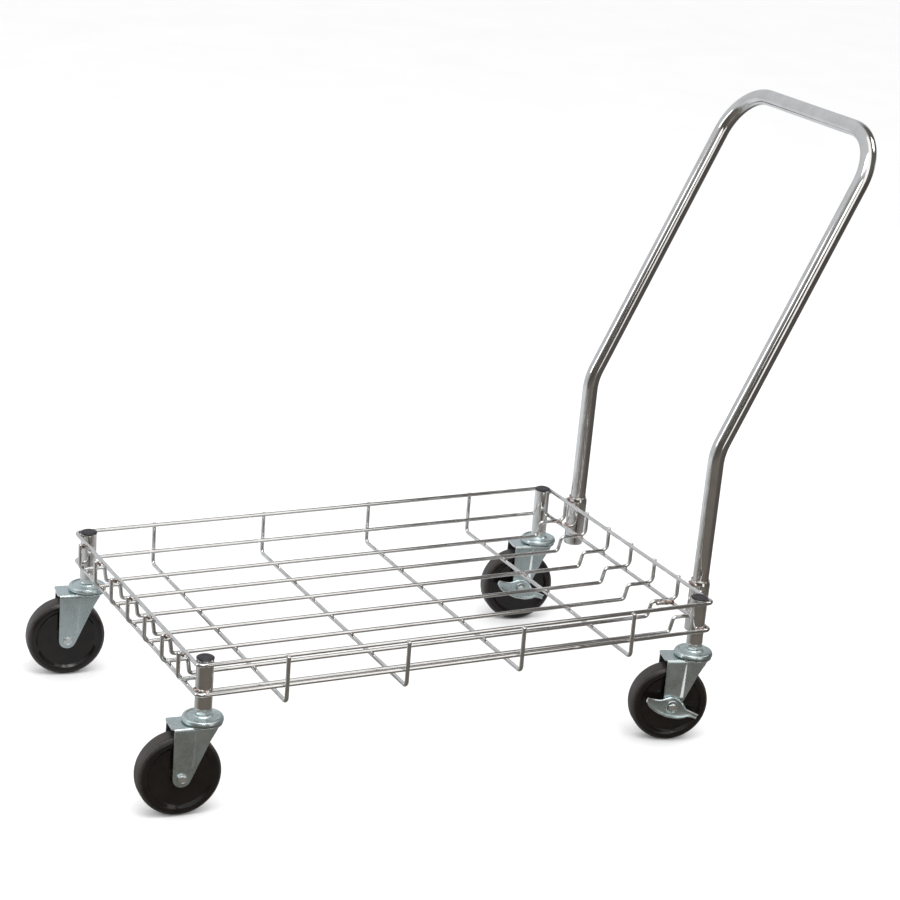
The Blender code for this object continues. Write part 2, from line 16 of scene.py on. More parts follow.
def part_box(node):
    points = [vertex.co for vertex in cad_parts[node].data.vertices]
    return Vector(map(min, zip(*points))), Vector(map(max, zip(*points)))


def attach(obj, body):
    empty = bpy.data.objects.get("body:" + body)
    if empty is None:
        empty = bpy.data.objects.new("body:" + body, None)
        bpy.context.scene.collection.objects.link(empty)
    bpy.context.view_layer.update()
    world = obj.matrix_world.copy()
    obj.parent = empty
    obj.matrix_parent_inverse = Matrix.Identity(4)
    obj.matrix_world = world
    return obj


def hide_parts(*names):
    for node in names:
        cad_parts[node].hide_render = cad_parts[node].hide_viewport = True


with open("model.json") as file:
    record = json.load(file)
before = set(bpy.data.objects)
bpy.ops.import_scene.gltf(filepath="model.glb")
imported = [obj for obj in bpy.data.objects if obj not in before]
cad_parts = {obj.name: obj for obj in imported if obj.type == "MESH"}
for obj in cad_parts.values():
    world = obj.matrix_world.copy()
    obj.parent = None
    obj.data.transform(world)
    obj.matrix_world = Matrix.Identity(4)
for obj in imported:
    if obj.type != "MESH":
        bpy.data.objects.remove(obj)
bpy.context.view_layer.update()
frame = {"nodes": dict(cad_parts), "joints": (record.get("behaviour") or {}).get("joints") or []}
JOINTS = {joint["name"]: joint for joint in frame["joints"]}
CORNERS = ("front_left", "front_right", "rear_left", "rear_right")
BRAKED = ("rear_left", "rear_right")

# Tray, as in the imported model
WIRE_RADIUS = 0.003175
WIRE_GAP = 0.0003
HOLLOW_DEPTH = 0.02              # how far a tube's bore is modelled
CORNER_RADIUS = 0.010
CROSS_BEND = 0.008
RISER_BEND = 0.010
JOG_BEND = 0.006
FRONT_JOG_INSET = 0.0301
REAR_JOG_INSET = 0.042
FRONT_JOG_SLANT = 0.0017
REAR_JOG_SLANT = 0.003
FRONT_STANDOFF = 0.0055          # from the front risers to the rim
FRONT_TIP_RISE = 0.0025          # the front risers' tips above the others
POST_RADIUS = 0.0127
HANDLE_RADIUS = 0.0127
HANDLE_WALL = 0.0015
HANDLE_RAKE = math.radians(1.08)
HANDLE_KNEE_HEIGHT = 0.4504
KNEE_RADIUS = 0.090
HANDLE_CORNER_RADIUS = 0.080

# Casters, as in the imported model
TRAIL = 0.0335
FORK_TOP = 0.1390
FORK_PLATE = 0.0026
FORK_INNER_HALF = 0.0205
FORK_OUTER_HALF = FORK_INNER_HALF + FORK_PLATE
FORK_BEND = 0.0045
FORK_DISC_RADIUS = 0.0290
FOOT_RADIUS = 0.0135
LEG_REAR_TOP = -0.0465           # a leg's rear edge where it meets the fork's top
BOSS_RISE = 0.0010               # how far a wheel's hub boss stands out past its rim
RIB_HIGHLIGHT_LIFT = 0.0010             # how proud a rib stands where its painted highlight is full
HEXAGON_FLATS = 0.0222
HEXAGON_BOTTOM = 0.1508
NUT_FLATS = 0.0127
HEAD_HEIGHT = 0.0050
LEVER_TILT = math.radians(-21.0)
LEVER_HALF_LENGTH = 0.0440
LEVER_PLATE_GAP = 0.0042         # from the lever's inner face to its plate

# Camera, placed from the tray's middle, and the height that the lights face
LENS = 98.04
CAMERA_OFFSET = (-1.6015, -3.2087, 1.6221)
CAMERA_TURN = (71.579, -4.264, -26.343)
AIM_HEIGHT = 0.3


def box_centre(node):
    low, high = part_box(node)
    return (low + high) / 2


# -------------------- materials

def add_node(tree, kind, settings=None, **inputs):
    """A node with its settings. Inputs are keyed by name, or i and a number, and are values or sockets."""
    made = tree.nodes.new(kind)
    for key, value in (settings or {}).items():
        setattr(made, key, value)
    for key, value in inputs.items():
        socket = made.inputs[int(key[1:])] if key[0] == "i" and key[1:].isdigit() else made.inputs[key]
        if isinstance(value, bpy.types.NodeSocket):
            tree.links.new(value, socket)
        else:
            socket.default_value = value
    return made


def new_material(name, metallic, specular=0.5):
    material = bpy.data.materials.new(name)
    material.use_nodes = True
    tree = material.node_tree
    shader = tree.nodes["Principled BSDF"]
    shader.inputs["Metallic"].default_value = metallic
    shader.inputs["Specular IOR Level"].default_value = specular
    return material, tree, shader


def noise_of(vector, scale, detail, roughness=0.5):
    return add_node(vector.id_data, "ShaderNodeTexNoise", Vector=vector, Scale=scale, Detail=detail,
                    Roughness=roughness).outputs["Fac"]


def attribute(tree, name, output="Fac"):
    return add_node(tree, "ShaderNodeAttribute", {"attribute_name": name}).outputs[output]


def spread(value, low, high, to_low=0.0, to_high=1.0):
    """A value's range from low to high, spread over another range and clamped to it."""
    return add_node(value.id_data, "ShaderNodeMapRange", {"clamp": True}, Value=value, i1=low, i2=high,
                    i3=to_low, i4=to_high).outputs[0]


def plus(a, b):
    return add_node(a.id_data, "ShaderNodeMath", {"operation": "ADD"}, i0=a, i1=b).outputs[0]


def times(a, b):
    return add_node(a.id_data, "ShaderNodeMath", {"operation": "MULTIPLY"}, i0=a, i1=b).outputs[0]


def blend_of(factor, a, b):
    """A colour between a and b."""
    return add_node(factor.id_data, "ShaderNodeMix", {"data_type": "RGBA"}, i0=factor, i6=a, i7=b).outputs[2]


def set_looks(shader, base, gloss, height, strength, distance):
    """The shader's base colour, roughness and bump, each from a node's output."""
    tree = shader.id_data
    made = add_node(tree, "ShaderNodeBump", Height=height, Strength=strength, Distance=distance)
    tree.links.new(base, shader.inputs["Base Color"])
    tree.links.new(gloss, shader.inputs["Roughness"])
    tree.links.new(made.outputs["Normal"], shader.inputs["Normal"])


def colour(red, green, blue):
    return (red, green, blue, 1.0)


def object_place(tree):
    return add_node(tree, "ShaderNodeTexCoord").outputs["Object"]


def make_chrome():
    """Bright chrome plate: faint drawing lines along the metal, wipe marks, straw to brown at the welds."""
    material, tree, shader = new_material("chrome_plate", 1.0)
    place, grain, heat = object_place(tree), attribute(tree, "grain", "Vector"), attribute(tree, "heat")
    cloudy = noise_of(place, 38.0, 5.0, 0.6)
    lines = noise_of(grain, 260.0, 3.0, 0.6)
    patchy = noise_of(place, 420.0, 4.0, 0.65)
    warm = times(heat, spread(patchy, 0.25, 0.75, 0.55, 1.35))
    bright, wiped = colour(0.84, 0.84, 0.83), colour(0.73, 0.72, 0.70)
    clean = blend_of(spread(cloudy, 0.35, 0.7), bright, wiped)
    straw = blend_of(spread(warm, 0.05, 0.45), clean, colour(0.50, 0.39, 0.31))
    brown = blend_of(spread(warm, 0.40, 0.90), straw, colour(0.20, 0.115, 0.10))
    drawn = spread(lines, 0.3, 0.8, 0.05, 0.13)
    gloss = plus(drawn, spread(cloudy, 0.5, 0.8, 0.0, 0.05))
    gloss = plus(gloss, spread(warm, 0.1, 0.9, 0.0, 0.30))
    rough = times(spread(warm, 0.2, 0.9), patchy)
    height = plus(times(lines, 0.35), rough)
    set_looks(shader, brown, gloss, height, 0.35, 0.00025)
    return material


def make_zinc():
    """Bright zinc plate: bluish, cloudy, with a fine crystal grain, edges painted paler as both wear and a
    highlight, and ribs painted pale as a highlight.
    """
    material, tree, shader = new_material("zinc_plate", 1.0)
    place, grain = object_place(tree), attribute(tree, "grain", "Vector")
    cloudy = noise_of(place, 55.0, 5.0, 0.6)
    crystal = add_node(tree, "ShaderNodeTexVoronoi", Vector=place, Scale=620.0).outputs["Color"]
    crystal = add_node(tree, "ShaderNodeSeparateColor", i0=crystal).outputs[0]
    lines = noise_of(grain, 420.0, 3.0, 0.6)
    edge = add_node(tree, "ShaderNodeNewGeometry").outputs["Pointiness"]
    dull, bluish = colour(0.56, 0.66, 0.67), colour(0.65, 0.74, 0.745)
    body = blend_of(spread(cloudy, 0.32, 0.68), dull, bluish)
    body = blend_of(spread(crystal, 0.0, 1.0, 0.0, 0.16), body, colour(0.78, 0.85, 0.86))
    # edges painted paler: partly wear, partly a painted highlight along the edges
    worn_and_highlit_edges = blend_of(spread(edge, 0.51, 0.56, 0.0, 0.85), body, colour(0.93, 0.95, 0.94))
    # painted highlight down each rib: a paler colour and less metal, so that diffuse light makes the rib pale
    rib = attribute(tree, "rib")
    rib_painted_highlight = blend_of(rib, worn_and_highlit_edges, colour(0.93, 0.96, 0.97))
    tree.links.new(spread(rib, 0.0, 1.0, 1.0, 0.45), shader.inputs["Metallic"])
    soft = spread(cloudy, 0.3, 0.7, 0.24, 0.38)
    gloss = plus(soft, spread(crystal, 0.0, 1.0, -0.04, 0.05))
    height = plus(times(lines, 0.6), times(crystal, 0.25))
    set_looks(shader, rib_painted_highlight, gloss, height, 0.30, 0.00020)
    return material


def make_weld():
    """Weld metal under chrome: lumpy, bright in places, straw and dark brown in others."""
    material, tree, shader = new_material("weld_metal", 1.0)
    place = object_place(tree)
    lumps = noise_of(place, 520.0, 4.0, 0.6)
    tint = noise_of(place, 160.0, 3.0, 0.5)
    base = blend_of(spread(tint, 0.35, 0.55), colour(0.84, 0.82, 0.80), colour(0.46, 0.34, 0.28))
    base = blend_of(spread(tint, 0.52, 0.68), base, colour(0.20, 0.12, 0.12))
    gloss = spread(lumps, 0.3, 0.7, 0.16, 0.42)
    set_looks(shader, base, gloss, lumps, 0.5, 0.0006)
    return material


def make_rubber():
    """Hard black moulded wheel: brown-black, fine turned rings, grey dust and scuffs on the tread."""
    material, tree, shader = new_material("black_wheel", 0.0, 0.45)
    place, grain, tread = object_place(tree), attribute(tree, "grain", "Vector"), attribute(tree, "tread")
    cloudy = noise_of(place, 48.0, 6.0, 0.62)
    scuffs = noise_of(place, 330.0, 5.0, 0.7)
    rings = noise_of(grain, 620.0, 3.0, 0.55)
    black, brownish = colour(0.0042, 0.0035, 0.0034), colour(0.0095, 0.0072, 0.0062)
    body = blend_of(spread(cloudy, 0.3, 0.7), black, brownish)
    scuffed = spread(scuffs, 0.30, 0.72, 0.35, 1.0)
    dust = times(spread(tread, 0.15, 1.0), scuffed)
    body = blend_of(times(dust, 0.75), body, colour(0.058, 0.049, 0.043))
    polish = spread(cloudy, 0.3, 0.7, 0.08, 0.16)
    gloss = plus(polish, times(dust, 0.38))
    height = plus(times(rings, 0.8), times(scuffs, 0.35))
    set_looks(shader, body, gloss, height, 0.20, 0.00035)
    return material


def make_plastic():
    """Black moulded cap: fine spark-eroded grain, a few dusty and rubbed places."""
    material, tree, shader = new_material("black_plastic", 0.0, 0.5)
    place = object_place(tree)
    grain = noise_of(place, 2600.0, 3.0, 0.6)
    dust = noise_of(place, 130.0, 6.0, 0.65)
    black, dusty = colour(0.010, 0.008, 0.012), colour(0.040, 0.034, 0.040)
    body = blend_of(spread(dust, 0.42, 0.75, 0.0, 0.8), black, dusty)
    gloss = spread(dust, 0.35, 0.75, 0.34, 0.58)
    set_looks(shader, body, gloss, grain, 0.35, 0.00015)
    return material


def make_steel():
    """Plain greased steel inside the bearings and hubs."""
    material, tree, shader = new_material("greased_steel", 1.0)
    place = object_place(tree)
    grease = noise_of(place, 240.0, 5.0, 0.6)
    body = blend_of(spread(grease, 0.42, 0.6), colour(0.52, 0.52, 0.51), colour(0.20, 0.16, 0.10))
    gloss = spread(grease, 0.3, 0.7, 0.22, 0.45)
    set_looks(shader, body, gloss, grease, 0.4, 0.0003)
    return material


CHROME = make_chrome()
ZINC = make_zinc()
WELD = make_weld()
RUBBER = make_rubber()
PLASTIC = make_plastic()
STEEL = make_steel()


# -------------------- shape helpers

def fillet(corners, radii, steps, closed=False):
    """A path through corners, each rounded to its radius. A radius of 0 keeps the corner."""
    corners = [Vector(c) for c in corners]
    count = len(corners)
    path = []
    for i, corner in enumerate(corners):
        radius = radii[i % len(radii)]
        if radius == 0 or (not closed and i in (0, count - 1)):
            path.append(corner)
            continue
        before = (corners[i - 1] - corner).normalized()
        after = (corners[(i + 1) % count] - corner).normalized()
        half = before.angle(after) / 2
        centre = corner + (before + after).normalized() * (radius / math.sin(half))
        first = corner + before * (radius / math.tan(half)) - centre
        last = corner + after * (radius / math.tan(half)) - centre
        sweep_angle = first.angle(last)
        for k in range(steps + 1):
            t = k / steps
            spoke = first * math.sin((1 - t) * sweep_angle) + last * math.sin(t * sweep_angle)
            path.append(centre + spoke / math.sin(sweep_angle))
    return path


def subdivided(path, step, closed=False):
    """The same path with no two points further apart than step."""
    result = []
    ends = path + [path[0]] if closed else path
    for a, b in zip(ends, ends[1:]):
        parts = max(1, math.ceil((b - a).length / step))
        result += [a.lerp(b, k / parts) for k in range(parts)]
    return result if closed else result + [path[-1]]


def set_values(mesh, name, kind, values):
    """Give every point of a mesh a number or a vector that its material reads."""
    made = mesh.attributes.new(name, kind, "POINT")
    key = "vector" if kind == "FLOAT_VECTOR" else "value"
    made.data.foreach_set(key, np.asarray(values, np.float32).ravel())


def grid_mesh(name, rows, wrap_u=False, wrap_v=False, capped=False):
    """A mesh through rows of points. wrap_u joins each row's ends, wrap_v the last row to the first."""
    shape = bmesh.new()
    verts = [[shape.verts.new(p) for p in row] for row in rows]
    count, width = len(rows), len(rows[0])
    for i in range(count if wrap_v else count - 1):
        below, above = verts[i], verts[(i + 1) % count]
        for j in range(width if wrap_u else width - 1):
            k = (j + 1) % width
            shape.faces.new((below[j], below[k], above[k], above[j]))
    if capped:
        shape.faces.new(list(reversed(verts[0])))
        shape.faces.new(verts[-1])
    bmesh.ops.recalc_face_normals(shape, faces=shape.faces)
    mesh = bpy.data.meshes.new(name)
    shape.to_mesh(mesh)
    shape.free()
    return mesh


def smooth(mesh, angle=32.0):
    mesh.shade_smooth()
    mesh.set_sharp_from_angle(angle=math.radians(angle))
    return mesh


def tube_end(station, inward, chamfer, hollow):
    """The stations that finish a tube's end, from its inside out, and its last station moved in for them."""
    point, tangent, across, r, along = station
    ends = [(point, tangent, across, r - chamfer, along)]
    if hollow:
        deep = point + tangent * HOLLOW_DEPTH * inward
        ends = [(place, tangent, across, r - hollow, along) for place in (deep, point)] + ends
    return ends, (point + tangent * chamfer * inward, tangent, across, r, along)


def sweep(name, path, radius, sides, closed=False, chamfer=0.0004, hollow=0.0):
    """A round tube along a path. radius is a number, or a function of the distance along the path.

    Open ends have a small chamfer, and a hollow end goes back inside by its wall's thickness.
    """
    size = radius if callable(radius) else (lambda along: radius)
    count = len(path)
    tangents = []
    for i, point in enumerate(path):
        ahead = path[(i + 1) % count] if closed or i < count - 1 else point
        behind = path[i - 1] if closed or i > 0 else point
        tangents.append((ahead - behind).normalized())
    side = tangents[0].orthogonal().normalized()
    stations, along = [], 0.0
    for i, point in enumerate(path):
        if i:
            side = tangents[i - 1].rotation_difference(tangents[i]) @ side
            along += (point - path[i - 1]).length
        stations.append((point, tangents[i], side.copy(), size(along), along))
    if not closed:
        first, stations[0] = tube_end(stations[0], 1, chamfer, hollow)
        last, stations[-1] = tube_end(stations[-1], -1, chamfer, hollow)
        stations = first + stations + last[::-1]
    turns = [math.tau * k / sides for k in range(sides)]
    rows, grain = [], []
    for point, tangent, across, r, along in stations:
        up = tangent.cross(across)
        rows.append([point + (across * math.cos(t) + up * math.sin(t)) * r for t in turns])
        grain += [(math.cos(t) * r, math.sin(t) * r, along * 0.03) for t in turns]
    mesh = grid_mesh(name, rows, wrap_u=True, wrap_v=closed, capped=not closed)
    set_values(mesh, "grain", "FLOAT_VECTOR", grain)
    return smooth(mesh)


def ring(levels, turns, across):
    """Points round an axis from a (radius, height) for each turn, about Z, or about Y when it lies across."""
    points = []
    for turn, (r, height) in zip(turns, levels):
        x, other = r * math.cos(turn), r * math.sin(turn)
        points.append(Vector((x, height, other) if across else (x, other, height)))
    return points


def turned(name, profile, steps=96, closed=True, across=False, centre=None):
    """A turned shape from a profile of (radius, height), about Z, or about Y when it lies across.

    The profile runs from the axis to the axis, or is a closed loop.
    """
    turns = [math.tau * k / steps for k in range(steps)]
    rows, grain, run = [], [], 0.0
    for i, corner in enumerate(profile):
        if i:
            run += math.dist(corner, profile[i - 1])
        rows.append(ring([corner] * steps, turns, across))
        grain += [(run, 0.0, 0.002 * math.sin(t)) for t in turns]
    mesh = grid_mesh(name, rows, wrap_u=True, wrap_v=closed, capped=not closed)
    set_values(mesh, "grain", "FLOAT_VECTOR", grain)
    if centre:
        mesh.transform(Matrix.Translation(centre))
    return smooth(mesh)


def rounded_profile(corners, radii, steps=4, closed=True):
    """A profile of (radius, height) whose corners are rounded."""
    return [(p.x, p.z) for p in fillet([(r, 0, z) for r, z in corners], radii, steps, closed)]


def hexagon_mesh(name, flats, low, high, cuts=(True, True), across=False, bore=0.0005, crown=0.98):
    """A hexagon with the round chamfers of a real nut, between two levels along Z or Y."""
    steps, sector = 96, math.pi / 3
    inner = flats / 2 * crown
    slope = math.tan(math.radians(30))
    turns = [math.tau * k / steps for k in range(steps)]
    reaches = [flats / 2 / math.cos((t + sector / 2) % sector - sector / 2) for t in turns]
    loops = []
    for level, direction, cut in ((low, 1, cuts[0]), (high, -1, cuts[1])):
        flat = [(inner if cut else reach, level) for reach in reaches]
        drop = [(reach, level + direction * (reach - inner) * slope if cut else level) for reach in reaches]
        loops += [[(bore, level)] * steps, flat, drop]
    loops = loops[:3] + loops[:2:-1]     # from the hole out at the low end, and back in at the high end
    mesh = grid_mesh(name, [ring(loop, turns, across) for loop in loops], wrap_u=True, wrap_v=True)
    set_values(mesh, "grain", "FLOAT_VECTOR", [(v.co.x, v.co.z, v.co.y) for v in mesh.vertices])
    return smooth(mesh, 18.0)


def joined(name, meshes):
    """Several meshes as one, keeping their grain."""
    shape = bmesh.new()
    for mesh in meshes:
        shape.from_mesh(mesh)
    result = bpy.data.meshes.new(name)
    shape.to_mesh(result)
    shape.free()
    return result


def add_object(name, data):
    made = bpy.data.objects.new(name, data)
    bpy.context.scene.collection.objects.link(made)
    return made


def add_piece(name, mesh, material, body, slot, nodes=(), matrix=None):
    """One visible piece: its mesh is put in place, and it rides on a body."""
    if matrix is not None:
        mesh = mesh.copy()
        mesh.transform(matrix)
    mesh.materials.clear()
    mesh.materials.append(material)
    obj = add_object(name, mesh)
    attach(obj, body)
    if nodes:
        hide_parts(*nodes)
    return obj


def add_tube(mesh, node):
    """A chromed wire or tube of the frame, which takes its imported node's place."""
    return add_piece(mesh.name, mesh, CHROME, "frame", "chrome", [node])


# -------------------- tray wires

RIM_LOW, RIM_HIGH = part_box("top_rim")
LOWER_LOW, LOWER_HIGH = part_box("lower_ring")
TRAY = Vector(((RIM_LOW.x + RIM_HIGH.x) / 2, 0, 0))
HALF_X = (RIM_HIGH.x - RIM_LOW.x) / 2 - WIRE_RADIUS
HALF_Y = (RIM_HIGH.y - RIM_LOW.y) / 2 - WIRE_RADIUS
RIM_Z = (RIM_LOW.z + RIM_HIGH.z) / 2
LOWER_Z = (LOWER_LOW.z + LOWER_HIGH.z) / 2
DECK_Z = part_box("deck_wire_4")[0].z + WIRE_RADIUS
CROSS_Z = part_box("cross_wire_2")[0].z + WIRE_RADIUS
WIRE_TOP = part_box("cross_wire_2")[1].z
CROSS_X = [box_centre(f"cross_wire_{i + 1}").x for i in range(4)]
DECK_Y = [box_centre(f"deck_wire_{i + 1}").y for i in range(7)]
STEMS = {corner: Vector(JOINTS[f"swivel_{corner}"]["pos_m"]) * Vector((1, 1, 0)) for corner in CORNERS}
WELD_PLACES = []                 # (place, reach of its heat, strength)


def ring_size(joint_at):
    """A ring wire's radius along its length, with the slight flash of its butt weld."""
    def size(along):
        return WIRE_RADIUS + 0.00035 * math.exp(-((along - joint_at) / 0.0016) ** 2)
    return size


def ring_path(height):
    signs = ((-1, -1), (1, -1), (1, 1), (-1, 1))
    corners = [TRAY + Vector((x * HALF_X, y * HALF_Y, height)) for x, y in signs]
    return subdivided(fillet(corners, [CORNER_RADIUS], 8, closed=True), 0.005, closed=True)


def cross_path(x):
    side = HALF_Y + 2 * WIRE_RADIUS + WIRE_GAP
    corners = [(x, -side, WIRE_TOP), (x, -side, CROSS_Z), (x, side, CROSS_Z), (x, side, WIRE_TOP)]
    return subdivided(fillet(corners, [CROSS_BEND], 8), 0.005)


def deck_path(y):
    rear = TRAY.x + HALF_X + 2 * WIRE_RADIUS + WIRE_GAP
    front = 2 * TRAY.x - rear - FRONT_STANDOFF
    shelf = LOWER_Z + 2 * WIRE_RADIUS + WIRE_GAP
    front_jog = TRAY.x - HALF_X + FRONT_JOG_INSET
    rear_jog = TRAY.x + HALF_X - REAR_JOG_INSET
    corners = [(front, y, WIRE_TOP + FRONT_TIP_RISE), (front, y, shelf),
               (front_jog - FRONT_JOG_SLANT, y, shelf), (front_jog + FRONT_JOG_SLANT, y, DECK_Z),
               (rear_jog - REAR_JOG_SLANT, y, DECK_Z), (rear_jog + REAR_JOG_SLANT, y, shelf),
               (rear, y, shelf), (rear, y, WIRE_TOP)]
    radii = [0, RISER_BEND, JOG_BEND, JOG_BEND, JOG_BEND, JOG_BEND, RISER_BEND, 0]
    return subdivided(fillet(corners, radii, 7), 0.005)


def list_welds():
    """Where the tray's wires are spot welded at their crossings. The hotter bead welds at posts and sockets
    are not listed here.
    """
    side = HALF_Y + WIRE_RADIUS
    touch = WIRE_RADIUS + WIRE_GAP / 2
    spots = []
    for x in CROSS_X:
        spots += [(Vector((x, y, DECK_Z - touch)), "Z") for y in DECK_Y]
        spots += [(Vector((x, s * side, z)), "Y") for s in (-1, 1) for z in (LOWER_Z, RIM_Z)]
    for y in DECK_Y:
        for s in (-1, 1):
            spots.append((Vector((TRAY.x + s * HALF_X, y, LOWER_Z + touch)), "Z"))
            out = FRONT_STANDOFF / 2 if s < 0 else 0.0
            spots.append((Vector((TRAY.x + s * (HALF_X + touch + out), y, RIM_Z - 0.0005)), "X"))
    return spots


def add_blob(shape, place, axis, seed):
    """One spot weld: a small squeezed lens of metal, rough where it was forged out."""
    made = bmesh.ops.create_icosphere(shape, subdivisions=3, radius=1.0)
    flat = {"X": (0.55, 1.0, 1.0), "Y": (1.0, 0.55, 1.0), "Z": (1.0, 1.0, 0.55)}[axis]
    bridging = axis == "X" and place.x < TRAY.x      # spans the front risers' standoff
    reach = 0.0040 if bridging else {"X": 0.0028, "Y": 0.0028, "Z": 0.0029}[axis]
    for vert in made["verts"]:
        lump = 1.0 + 0.22 * noise.noise(vert.co * 2.3 + Vector((seed, 0, 0)))
        stretched = Vector(a * b for a, b in zip(vert.co, flat)) * reach * lump
        if bridging:
            stretched.x *= 1.25
        vert.co = place + stretched


def add_bead(shape, centre, radius, start, end, height, thick, seed, tilt=None):
    """A run of weld round an upright tube: overlapping ripples along an arc."""
    steps, sides = max(8, int(abs(end - start) / math.radians(3.0))), 10
    swings = [math.tau * k / sides for k in range(sides)]
    rows = []
    for i in range(steps + 1):
        t = i / steps
        turn = start + (end - start) * t
        ripple = 1.0 + 0.13 * math.sin(i * 1.9) + 0.18 * noise.noise(Vector((i * 0.31, seed, 0)))
        size = thick * ripple * math.sin(math.pi * min(max(t, 0.04), 0.96)) ** 0.35
        out = Vector((math.cos(turn), math.sin(turn), 0))
        wander = 0.0005 * noise.noise(Vector((i * 0.4, 7, seed)))
        middle = centre + out * radius + Vector((0, 0, height + wander))
        row = [middle + (out * math.cos(a) + Vector((0, 0, math.sin(a)))) * size for a in swings]
        rows.append([tilt @ p for p in row] if tilt else row)
    verts = [[shape.verts.new(p) for p in row] for row in rows]
    for i in range(steps):
        for k in range(sides):
            n = (k + 1) % sides
            shape.faces.new((verts[i][k], verts[i][n], verts[i + 1][n], verts[i + 1][k]))
    shape.faces.new(list(reversed(verts[0])))
    shape.faces.new(verts[-1])


def finish_welds(name, shape):
    """All the welds in a shape as one piece of the frame."""
    bmesh.ops.recalc_face_normals(shape, faces=shape.faces)
    mesh = bpy.data.meshes.new(name)
    shape.to_mesh(mesh)
    shape.free()
    mesh.shade_smooth()
    return add_piece(name, mesh, WELD, "frame", "chrome")


def add_heat(obj):
    """How much each point was heated by the welds near it."""
    co = np.zeros(len(obj.data.vertices) * 3, np.float32)
    obj.data.vertices.foreach_get("co", co)
    co = co.reshape(-1, 3)
    heat = np.zeros(len(co))
    for place, reach, strength in WELD_PLACES:
        near = ((co - np.array(place)) ** 2).sum(1)
        heat = np.maximum(heat, strength * np.exp(-near / reach ** 2))
    set_values(obj.data, "heat", "FLOAT", heat)


def add_tray():
    """Both rings, the cross wires and the deck wires. joint_at is how far round a ring its butt weld is."""
    pieces = []
    for name, height, joint_at in (("top_rim", RIM_Z, 1.95), ("lower_ring", LOWER_Z, 0.62)):
        mesh = sweep(name + "_wire", ring_path(height), ring_size(joint_at), 20, closed=True)
        pieces.append(add_tube(mesh, name))
    for i, x in enumerate(CROSS_X):
        name = f"cross_wire_{i + 1}"
        pieces.append(add_tube(sweep(name + "_round", cross_path(x), WIRE_RADIUS, 18), name))
    for i, y in enumerate(DECK_Y):
        name = f"deck_wire_{i + 1}"
        pieces.append(add_tube(sweep(name + "_round", deck_path(y), WIRE_RADIUS, 18), name))
    return pieces


def add_nugget(shape, start, end, thick, seed):
    """A burnt run of weld laid along a wire: overlapping lumps from start to end."""
    count = max(3, int((end - start).length / 0.0016))
    for i in range(count):
        made = bmesh.ops.create_icosphere(shape, subdivisions=2, radius=1.0)
        middle = start.lerp(end, i / (count - 1))
        size = thick * (1.0 + 0.35 * noise.noise(Vector((seed, i * 1.3, 0.5))))
        for vert in made["verts"]:
            lump = 1.0 + 0.30 * noise.noise(vert.co * 1.9 + Vector((seed, i, 0)))
            vert.co = middle + vert.co * size * lump
    WELD_PLACES.append((start.lerp(end, 0.5), 0.012, 1.0))


def add_spot_welds():
    """Spot welds at the crossings, and burnt runs at the rear: three beside deck wires, one under a wire."""
    shape = bmesh.new()
    ring_x, shelf = TRAY.x + HALF_X, LOWER_Z + WIRE_RADIUS * 2
    for i, side in ((0, 1), (5, -1), (6, -1)):
        beside = Vector((0, side * WIRE_RADIUS * 0.8, -0.0012))
        start = Vector((ring_x - 0.013, DECK_Y[i], shelf)) + beside
        add_nugget(shape, start, start + Vector((0.012, 0, 0)), 0.0019, i * 3.1)
    start = Vector((ring_x - 0.028, DECK_Y[1] - 0.0020, shelf - 0.0027))
    add_nugget(shape, start, start + Vector((0.025, 0, 0)), 0.0038, 9.3)
    between_post_and_socket = Vector((ring_x, (DECK_Y[6] + HALF_Y) / 2, LOWER_Z))
    WELD_PLACES.append((between_post_and_socket, 0.026, 1.0))
    for i, (place, axis) in enumerate(list_welds()):
        add_blob(shape, place, axis, i * 1.7)
        hot = 0.55 if axis == "X" else 0.42 + 0.2 * noise.noise(place * 9.0)
        WELD_PLACES.append((place, 0.0065, hot))
    finish_welds("spot_welds", shape)


# -------------------- posts, caps, sockets and handle

def add_posts():
    """Corner posts, welded to both rings on their two outer sides."""
    pieces = []
    shape = bmesh.new()
    for index, corner in enumerate(CORNERS):
        low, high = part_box(f"post_{corner}")
        axis = STEMS[corner]
        path = subdivided([axis + Vector((0, 0, low.z)), axis + Vector((0, 0, high.z))], 0.003)
        WELD_PLACES.append((axis + Vector((0, 0, high.z)), 0.0165, 0.75))
        mesh = sweep(f"post_{corner}_tube", path, POST_RADIUS, 56, chamfer=0.0006)
        pieces.append(add_tube(mesh, f"post_{corner}"))
        out_x = math.pi if corner.startswith("front") else 0.0
        out_y = -math.pi / 2 if corner.endswith("left") else math.pi / 2
        for level, ring_z in enumerate((LOWER_Z, RIM_Z)):
            lift = WIRE_RADIUS * (0.95 if level == 0 else -0.95)
            for turn in (out_x, out_y):
                seed = index * 5.0 + level * 2.0 + turn
                half = math.radians(27 + 6 * noise.noise(Vector((seed, 1, 1))))
                add_bead(shape, axis, POST_RADIUS + 0.0009, turn - half, turn + half, ring_z + lift, 0.0019,
                         seed)
                contact = axis + Vector((math.cos(turn), math.sin(turn), 0)) * POST_RADIUS
                WELD_PLACES.append((contact + Vector((0, 0, ring_z)), 0.0150, 0.95))
    finish_welds("post_welds", shape)
    return pieces


